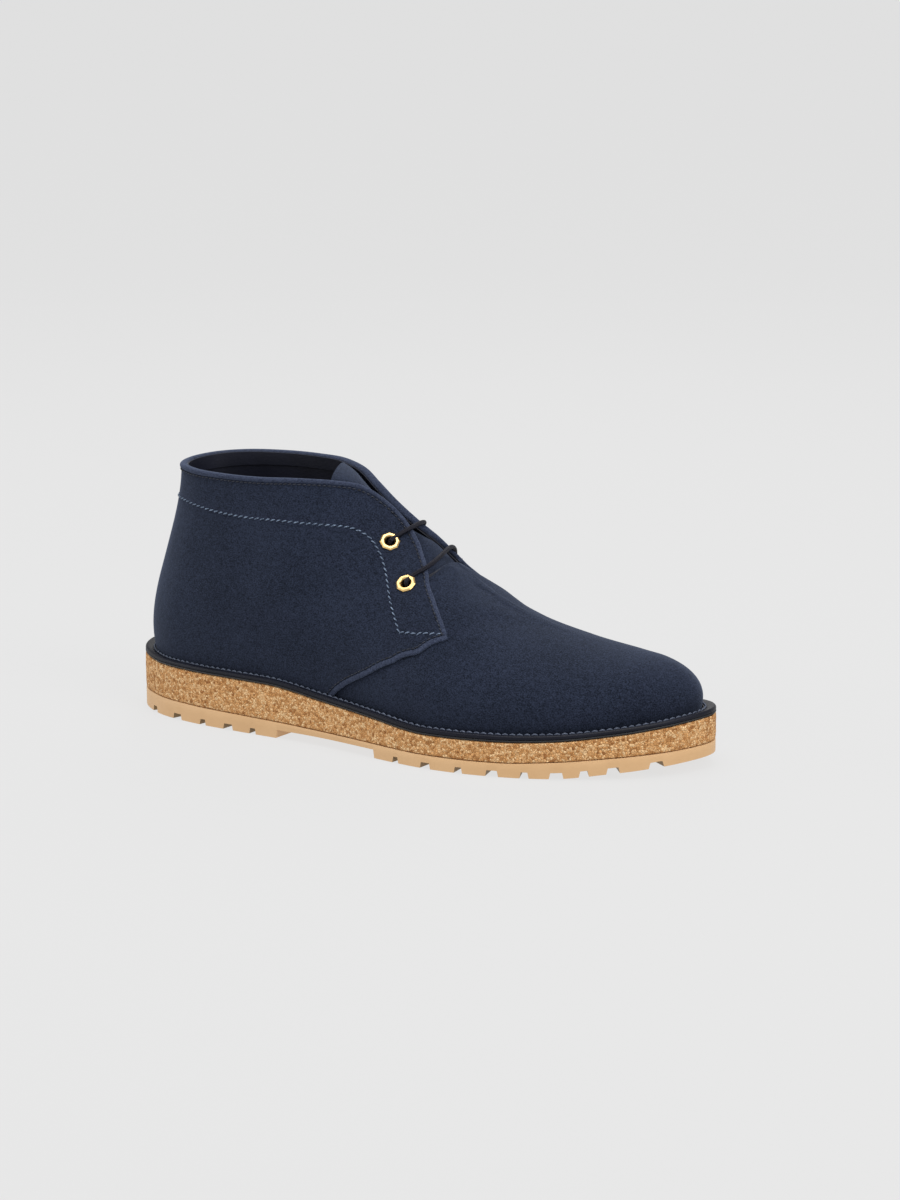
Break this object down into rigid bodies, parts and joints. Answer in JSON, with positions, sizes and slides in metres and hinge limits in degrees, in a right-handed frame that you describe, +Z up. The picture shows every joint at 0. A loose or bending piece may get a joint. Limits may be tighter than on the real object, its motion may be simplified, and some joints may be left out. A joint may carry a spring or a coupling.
{
  "type": "chukka boot",
  "caption": "Ankle-high lace-up chukka boot for the right foot, with a hollow suede upper, tongue, welt, crepe wedge and lugged rubber outsole.",
  "frame": {"origin": "on the floor under the middle of the boot's bounding box", "axes": "+X from heel to toe, +Y toward the inner (medial) side of the right foot, +Z up from the floor"},
  "size_m": [0.3038, 0.11, 0.1268],
  "materials": {
    "gum_rubber": "satin, slightly translucent gum",
    "crepe": "granular, matte",
    "welt_leather": "smooth, semi-matte",
    "lining": "smooth, semi-matte",
    "suede": "napped suede, matte",
    "brass": "polished",
    "lace": "waxed cord"
  },
  "bodies": {
    "root": {"outsole": "gum_rubber", "midsole": "crepe", "welt": "welt_leather", "insole": "lining", "upper": "suede", "tongue": "suede", "eyelet_lateral_upper": "brass", "eyelet_lateral_lower": "brass", "eyelet_medial_upper": "brass", "eyelet_medial_lower": "brass", "lace_bar_upper": "lace", "lace_bar_lower": "lace"}
  },
  "joints": []
}
